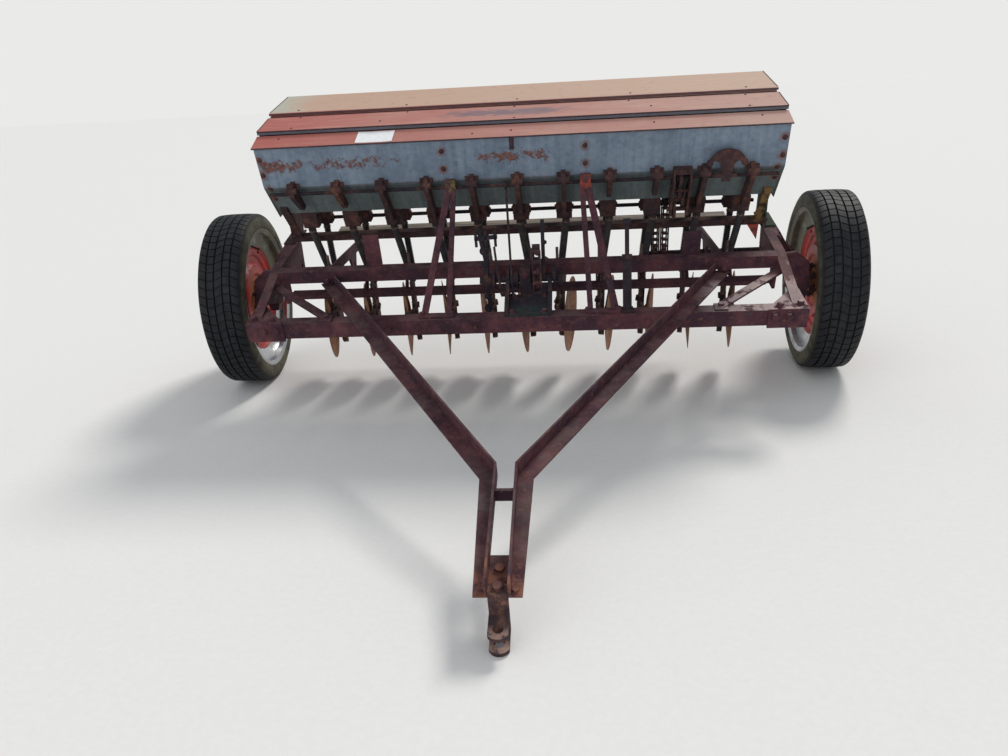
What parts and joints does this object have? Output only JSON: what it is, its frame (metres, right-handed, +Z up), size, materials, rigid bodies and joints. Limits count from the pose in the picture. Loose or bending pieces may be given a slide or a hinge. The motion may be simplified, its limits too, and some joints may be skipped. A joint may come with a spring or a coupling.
{
  "type": "seed drill",
  "caption": "Pull-type grain drill with a hopper box on a low frame, single disc openers in one row, an angle-bar tongue with a clevis, and rubber-tyred wheels.",
  "frame": {"origin": "on the ground, at the middle of the box around the whole drill, which stands on its two tyres and its hitch clevis", "axes": "+X to the right across the drill seen from its hitch end, +Y to the rear away from the hitch, +Z up"},
  "size_m": [2.873, 2.4204, 1.2704],
  "materials": {
    "rusty_frame": "rusted brown paint",
    "cast_iron": "rusted casting",
    "bare_steel": "dull, rusted",
    "tyre_rubber": "worn black rubber",
    "red_disc": "red enamel, worn",
    "bright_rim": "polished, dusty",
    "galvanised": "weathered zinc with rust spots",
    "red_oxide_lid": "chalky faded red",
    "tube_black": "dusty black",
    "disc_steel": "rusted",
    "weathered_wood": "weathered plank"
  },
  "bodies": {
    "frame": {"front_bar": "rusty_frame", "rear_bar": "rusty_frame", "side_frames": "rusty_frame", "opener_pivot": "rusty_frame", "tongue_bars": "rusty_frame", "tongue_plates": "rusty_frame", "hitch_clevis": "cast_iron", "spindles": "bare_steel", "box_front": "galvanised", "box_floor": "galvanised", "box_back": "galvanised", "box_ends": "galvanised", "top_strip": "red_oxide_lid", "box_stands": "cast_iron", "box_braces": "rusty_frame", "hanger_brackets": "cast_iron", "feed_shaft": "bare_steel", "feed_cups": "cast_iron", "seed_tubes": "tube_black", "rate_quadrant": "cast_iron", "lift_gear": "cast_iron", "drive_gear": "cast_iron", "drive_chain": "cast_iron", "footboard": "weathered_wood", "foot_arms": "rusty_frame"},
    "wheel_left": {"tyre_left": "tyre_rubber", "rim_left": "bright_rim", "wheel_disc_left": "red_disc", "hub_left": "cast_iron"},
    "wheel_right": {"tyre_right": "tyre_rubber", "rim_right": "bright_rim", "wheel_disc_right": "red_disc", "hub_right": "cast_iron"},
    "middle_lid": {"middle_lid": "red_oxide_lid"},
    "rear_lid": {"rear_lid": "red_oxide_lid"},
    "lift": {"lift_shaft": "rusty_frame"},
    "openers": {"openers": "cast_iron", "pressure_rods": "bare_steel", "springs": "bare_steel"},
    "disc_body_1": {"disc_1": "disc_steel"},
    "disc_body_2": {"disc_2": "disc_steel"},
    "disc_body_3": {"disc_3": "disc_steel"},
    "disc_body_4": {"disc_4": "disc_steel"},
    "disc_body_5": {"disc_5": "disc_steel"},
    "disc_body_6": {"disc_6": "disc_steel"},
    "disc_body_7": {"disc_7": "disc_steel"},
    "disc_body_8": {"disc_8": "disc_steel"},
    "disc_body_9": {"disc_9": "disc_steel"},
    "disc_body_10": {"disc_10": "disc_steel"},
    "disc_body_11": {"disc_11": "disc_steel"}
  },
  "joints": [
    {"name": "wheel_left_spin", "type": "hinge", "parent": "frame", "child": "wheel_left", "pos_m": [-1.313, 0.78615, 0.39], "axis": [0.9978, 0.0663, 0], "continuous": true},
    {"name": "wheel_right_spin", "type": "hinge", "parent": "frame", "child": "wheel_right", "pos_m": [1.313, 0.78615, 0.39], "axis": [0.9978, -0.0663, 0], "continuous": true},
    {"name": "middle_lid_hinge", "type": "hinge", "parent": "frame", "child": "middle_lid", "pos_m": [0, 0.5879, 1.18893], "axis": [-1, 0, 0], "range_deg": [0, 85]},
    {"name": "rear_lid_hinge", "type": "hinge", "parent": "frame", "child": "rear_lid", "pos_m": [0, 0.59867, 1.20471], "axis": [1, 0, 0], "range_deg": [0, 85]},
    {"name": "openers_lift", "type": "hinge", "parent": "frame", "child": "openers", "pos_m": [0, 0.1594, 0.4176], "axis": [1, 0, 0], "range_deg": [-10, 0]},
    {"name": "lift_shaft_turn", "type": "hinge", "parent": "frame", "child": "lift", "pos_m": [0, 0.56672, 0.45287], "axis": [1, 0, 0], "range_deg": [-56, 0]},
    {"name": "disc_1_spin", "type": "hinge", "parent": "openers", "child": "disc_body_1", "pos_m": [-0.89, 0.71921, 0.28759], "axis": [0.9848, 0.1693, 0.0385], "continuous": true},
    {"name": "disc_2_spin", "type": "hinge", "parent": "openers", "child": "disc_body_2", "pos_m": [-0.712, 0.71921, 0.28759], "axis": [0.9848, 0.1693, 0.0385], "continuous": true},
    {"name": "disc_3_spin", "type": "hinge", "parent": "openers", "child": "disc_body_3", "pos_m": [-0.534, 0.71921, 0.28759], "axis": [0.9848, 0.1693, 0.0385], "continuous": true},
    {"name": "disc_4_spin", "type": "hinge", "parent": "openers", "child": "disc_body_4", "pos_m": [-0.356, 0.71921, 0.28759], "axis": [0.9848, 0.1693, 0.0385], "continuous": true},
    {"name": "disc_5_spin", "type": "hinge", "parent": "openers", "child": "disc_body_5", "pos_m": [-0.178, 0.71921, 0.28759], "axis": [0.9848, 0.1693, 0.0385], "continuous": true},
    {"name": "disc_6_spin", "type": "hinge", "parent": "openers", "child": "disc_body_6", "pos_m": [0, 0.71921, 0.28759], "axis": [0.9848, 0.1693, 0.0385], "continuous": true},
    {"name": "disc_7_spin", "type": "hinge", "parent": "openers", "child": "disc_body_7", "pos_m": [0.178, 0.71921, 0.28759], "axis": [0.9848, -0.1693, -0.0385], "continuous": true},
    {"name": "disc_8_spin", "type": "hinge", "parent": "openers", "child": "disc_body_8", "pos_m": [0.356, 0.71921, 0.28759], "axis": [0.9848, -0.1693, -0.0385], "continuous": true},
    {"name": "disc_9_spin", "type": "hinge", "parent": "openers", "child": "disc_body_9", "pos_m": [0.534, 0.71921, 0.28759], "axis": [0.9848, -0.1693, -0.0385], "continuous": true},
    {"name": "disc_10_spin", "type": "hinge", "parent": "openers", "child": "disc_body_10", "pos_m": [0.712, 0.71921, 0.28759], "axis": [0.9848, -0.1693, -0.0385], "continuous": true},
    {"name": "disc_11_spin", "type": "hinge", "parent": "openers", "child": "disc_body_11", "pos_m": [0.89, 0.71921, 0.28759], "axis": [0.9848, -0.1693, -0.0385], "continuous": true}
  ],
  "couplings": [
    {"joint": "lift_shaft_turn", "follows": "openers_lift", "ratio": 5.6}
  ]
}
